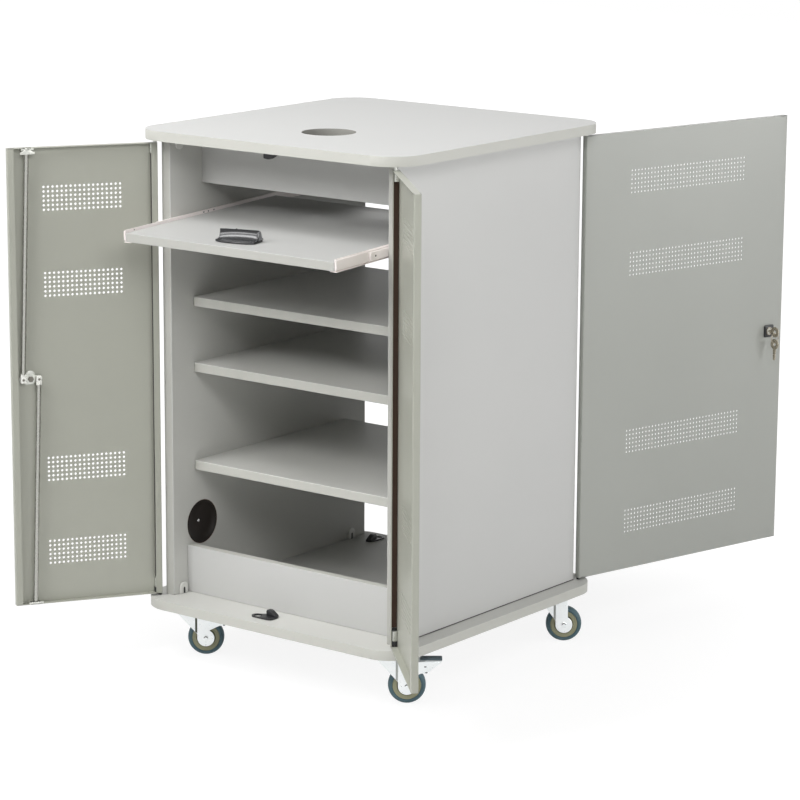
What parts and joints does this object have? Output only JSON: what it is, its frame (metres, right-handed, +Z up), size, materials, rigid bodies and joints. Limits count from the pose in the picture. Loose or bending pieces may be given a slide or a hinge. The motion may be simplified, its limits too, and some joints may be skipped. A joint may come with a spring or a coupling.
{
  "type": "multimedia cart",
  "caption": "Lockable equipment cart: laminate cabinet on swivel casters with sheet-metal doors front and rear, fixed shelves and a pull-out shelf on telescopic runners.",
  "frame": {"origin": "On the floor, at the centre in plan of the cart's box as it stands in the picture, doors open and shelf drawn out.", "axes": "+Z up, +X to the cart's right seen from its front, +Y from the front doors to the rear door."},
  "size_m": [0.9986, 1.4474, 1.0961],
  "materials": {
    "grey_laminate": "light grey laminate on board, satin",
    "door_paint": "olive-grey satin paint on sheet steel",
    "runner_white": "off-white epoxy on rolled steel",
    "black_plastic": "black moulded plastic",
    "zinc": "zinc-plated pressed steel",
    "steel": "nickel-plated steel",
    "tyre_rubber": "blue-grey rubber tread",
    "hub_nylon": "tan moulded nylon",
    "tread_grey": "grey moulded pedal cover"
  },
  "bodies": {
    "cabinet": {"top_board": "grey_laminate", "base_board": "grey_laminate", "side_panel_left": "grey_laminate", "side_panel_right": "grey_laminate", "top_rail": "grey_laminate", "kick_panel": "grey_laminate", "shelf_upper": "grey_laminate", "shelf_middle": "grey_laminate", "shelf_lower": "grey_laminate", "side_grommet": "black_plastic", "front_keep_base": "black_plastic", "front_keep_top": "black_plastic", "rear_keep_base": "black_plastic", "rear_keep_top": "black_plastic", "runner_cabinet_left": "runner_white", "runner_cabinet_right": "runner_white", "caster_plate_front_left": "zinc", "caster_plate_front_right": "zinc", "caster_plate_rear_left": "zinc", "caster_plate_rear_right": "zinc"},
    "left_front_door": {"front_door_left": "door_paint", "front_lock_body": "black_plastic"},
    "right_front_door": {"front_door_right": "door_paint"},
    "sliding_shelf": {"pull_out_shelf": "grey_laminate", "shelf_pull_handle": "black_plastic", "runner_shelf_left": "runner_white", "runner_shelf_right": "runner_white"},
    "runner_middles": {"runner_middle_left": "runner_white", "runner_middle_right": "runner_white"},
    "back_door": {"rear_door": "door_paint", "rear_lock_body": "black_plastic"},
    "front_lock": {"front_lock_cam": "zinc"},
    "front_upper_rod": {"front_rod_upper": "zinc"},
    "front_lower_rod": {"front_rod_lower": "zinc"},
    "rear_lock": {"rear_lock_cam": "zinc", "rear_key": "steel"},
    "rear_upper_rod": {"rear_rod_upper": "zinc"},
    "rear_lower_rod": {"rear_rod_lower": "zinc"},
    "spare_keys": {"key_ring": "steel", "spare_key": "steel"},
    "caster_front_left": {"caster_fork_front_left": "zinc"},
    "wheel_front_left": {"caster_axle_front_left": "zinc", "caster_hub_front_left": "hub_nylon", "caster_tyre_front_left": "tyre_rubber"},
    "caster_front_right": {"caster_fork_front_right": "zinc"},
    "wheel_front_right": {"caster_axle_front_right": "zinc", "caster_hub_front_right": "hub_nylon", "caster_tyre_front_right": "tyre_rubber"},
    "caster_rear_left": {"caster_fork_rear_left": "zinc"},
    "wheel_rear_left": {"caster_axle_rear_left": "zinc", "caster_hub_rear_left": "hub_nylon", "caster_tyre_rear_left": "tyre_rubber"},
    "caster_rear_right": {"caster_fork_rear_right": "zinc"},
    "wheel_rear_right": {"caster_axle_rear_right": "zinc", "caster_hub_rear_right": "hub_nylon", "caster_tyre_rear_right": "tyre_rubber"},
    "brake_front_left": {"brake_lever_front_left": "zinc", "brake_tread_front_left": "tread_grey"},
    "brake_front_right": {"brake_lever_front_right": "zinc", "brake_tread_front_right": "tread_grey"}
  },
  "joints": [
    {"name": "left_front_door_hinge", "type": "hinge", "parent": "cabinet", "child": "left_front_door", "pos_m": [-0.32859, -0.46691, 0.6008], "axis": [0, 0, 1], "range_deg": [0, 122.8]},
    {"name": "right_front_door_hinge", "type": "hinge", "parent": "cabinet", "child": "right_front_door", "pos_m": [0.27941, -0.46691, 0.6008], "axis": [0, 0, 1], "range_deg": [-135.1, 0]},
    {"name": "sliding_shelf_travel", "type": "slide", "parent": "cabinet", "child": "sliding_shelf", "axis": [0, 0.999, 0.0454], "range_m": [0, 0.255]},
    {"name": "runner_middle_travel", "type": "slide", "parent": "cabinet", "child": "runner_middles", "axis": [0, 0.999, 0.0454], "range_m": [0, 0.1275]},
    {"name": "back_door_hinge", "type": "hinge", "parent": "cabinet", "child": "back_door", "pos_m": [0.27941, 0.16909, 0.6008], "axis": [0, 0, 1], "range_deg": [-75.9, 104.1]},
    {"name": "front_lock_turn", "type": "hinge", "parent": "left_front_door", "child": "front_lock", "pos_m": [-0.47766, -0.68254, 0.6008], "axis": [-0.8406, 0.5417, 0], "range_deg": [0, 90]},
    {"name": "front_upper_rod_eye", "type": "hinge", "parent": "front_lock", "child": "front_upper_rod", "pos_m": [-0.47666, -0.70221, 0.6008], "axis": [-0.8406, 0.5417, 0], "range_deg": [-95, 3]},
    {"name": "front_lower_rod_eye", "type": "hinge", "parent": "front_lock", "child": "front_lower_rod", "pos_m": [-0.45933, -0.67531, 0.6008], "axis": [-0.8406, 0.5417, 0], "range_deg": [-95, 3]},
    {"name": "rear_lock_turn", "type": "hinge", "parent": "back_door", "child": "rear_lock", "pos_m": [0.41689, 0.68154, 0.6008], "axis": [0.9699, -0.2436, 0], "range_deg": [0, 90]},
    {"name": "rear_upper_rod_eye", "type": "hinge", "parent": "rear_lock", "child": "rear_upper_rod", "pos_m": [0.40964, 0.69986, 0.6008], "axis": [0.9699, -0.2436, 0], "range_deg": [-95, 3]},
    {"name": "rear_lower_rod_eye", "type": "hinge", "parent": "rear_lock", "child": "rear_lower_rod", "pos_m": [0.40184, 0.66882, 0.6008], "axis": [0.9699, -0.2436, 0], "range_deg": [-95, 3]},
    {"name": "spare_key_swing", "type": "hinge", "parent": "rear_lock", "child": "spare_keys", "pos_m": [0.43784, 0.67627, 0.6008], "axis": [-0.2436, -0.9699, 0], "range_deg": [-12, 60]},
    {"name": "swivel_front_left", "type": "hinge", "parent": "cabinet", "child": "caster_front_left", "pos_m": [-0.28659, -0.41991, 0.09], "axis": [0, 0, 1], "continuous": true},
    {"name": "spin_front_left", "type": "hinge", "parent": "caster_front_left", "child": "wheel_front_left", "pos_m": [-0.26124, -0.40039, 0.0375], "axis": [0.6101, -0.7923, 0], "continuous": true},
    {"name": "brake_pedal_front_left", "type": "hinge", "parent": "caster_front_left", "child": "brake_front_left", "pos_m": [-0.27074, -0.40771, 0.0854], "axis": [0.6101, -0.7923, 0], "range_deg": [0, 8]},
    {"name": "swivel_front_right", "type": "hinge", "parent": "cabinet", "child": "caster_front_right", "pos_m": [0.23741, -0.41991, 0.09], "axis": [0, 0, 1], "continuous": true},
    {"name": "spin_front_right", "type": "hinge", "parent": "caster_front_right", "child": "wheel_front_right", "pos_m": [0.26276, -0.40039, 0.0375], "axis": [0.6101, -0.7923, 0], "continuous": true},
    {"name": "brake_pedal_front_right", "type": "hinge", "parent": "caster_front_right", "child": "brake_front_right", "pos_m": [0.25326, -0.40771, 0.0854], "axis": [0.6101, -0.7923, 0], "range_deg": [0, 8]},
    {"name": "swivel_rear_left", "type": "hinge", "parent": "cabinet", "child": "caster_rear_left", "pos_m": [-0.28659, 0.12209, 0.09], "axis": [0, 0, 1], "continuous": true},
    {"name": "spin_rear_left", "type": "hinge", "parent": "caster_rear_left", "child": "wheel_rear_left", "pos_m": [-0.26124, 0.14161, 0.0375], "axis": [0.6101, -0.7923, 0], "continuous": true},
    {"name": "swivel_rear_right", "type": "hinge", "parent": "cabinet", "child": "caster_rear_right", "pos_m": [0.23741, 0.12209, 0.09], "axis": [0, 0, 1], "continuous": true},
    {"name": "spin_rear_right", "type": "hinge", "parent": "caster_rear_right", "child": "wheel_rear_right", "pos_m": [0.26276, 0.14161, 0.0375], "axis": [0.6101, -0.7923, 0], "continuous": true}
  ],
  "couplings": [
    {"joint": "right_front_door_hinge", "follows": "left_front_door_hinge", "ratio": -1.1002},
    {"joint": "sliding_shelf_travel", "follows": "left_front_door_hinge", "m_per_rad": 0.11898},
    {"joint": "runner_middle_travel", "follows": "left_front_door_hinge", "m_per_rad": 0.059488},
    {"joint": "front_upper_rod_eye", "follows": "front_lock_turn", "ratio": -1.0219},
    {"joint": "front_lower_rod_eye", "follows": "front_lock_turn", "ratio": -1.0219},
    {"joint": "rear_upper_rod_eye", "follows": "rear_lock_turn", "ratio": -1.0219},
    {"joint": "rear_lower_rod_eye", "follows": "rear_lock_turn", "ratio": -1.0219}
  ]
}
